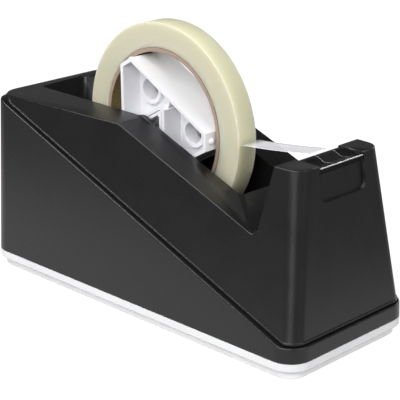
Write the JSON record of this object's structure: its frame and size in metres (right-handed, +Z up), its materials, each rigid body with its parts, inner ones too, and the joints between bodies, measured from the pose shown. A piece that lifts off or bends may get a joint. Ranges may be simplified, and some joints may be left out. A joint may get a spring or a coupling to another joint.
{
  "type": "desk tape dispenser",
  "caption": "Weighted desk tape dispenser with a wedge-shaped case, a tape roll on a lift-out three-cornered hub, and a toothed cutter on the front tower.",
  "frame": {"origin": "centre of the base outline, on the surface the dispenser stands on", "axes": "+X from the roll towards the cutter, +Y across the case along the roll's axis, +Z up"},
  "size_m": [0.2188, 0.0874, 0.1424],
  "materials": {
    "foam_white": "closed-cell foam, matte",
    "base_white": "moulded, satin",
    "ballast_iron": "rough casting",
    "shell_black": "moulded, semi-gloss",
    "case_black": "moulded, semi-gloss",
    "screw_zinc": "zinc plated",
    "platform_black": "gloss",
    "blade_steel": "stamped steel",
    "clamp_black": "satin",
    "tape_film": "clear film",
    "axle_steel": "drawn rod",
    "hub_white": "moulded, satin",
    "core_paper": "wound kraft board",
    "tape_cream": "wound adhesive film"
  },
  "bodies": {
    "case": {"foot_pad": "foam_white", "base_tray": "base_white", "ballast_weight": "ballast_iron", "lower_shell": "shell_black", "upper_housing": "case_black", "case_screw_rear_left": "screw_zinc", "case_screw_rear_right": "screw_zinc", "case_screw_front_left": "screw_zinc", "case_screw_front_right": "screw_zinc", "platform_screw_left": "screw_zinc", "platform_screw_right": "screw_zinc", "tape_platform": "platform_black", "cutter_blade": "blade_steel", "blade_clamp": "clamp_black", "tape_strip": "tape_film"},
    "axle_carrier": {"axle": "axle_steel"},
    "roll": {"core_hub": "hub_white", "core_adapter": "hub_white", "paper_core": "core_paper", "tape_roll": "tape_cream"}
  },
  "joints": [
    {"name": "axle_lift", "type": "slide", "parent": "case", "child": "axle_carrier", "axis": [0, 0, 1], "range_m": [0, 0.065]},
    {"name": "roll_spin", "type": "hinge", "parent": "axle_carrier", "child": "roll", "pos_m": [-0.0125, 0, 0.0894], "axis": [0, 1, 0], "continuous": true}
  ]
}
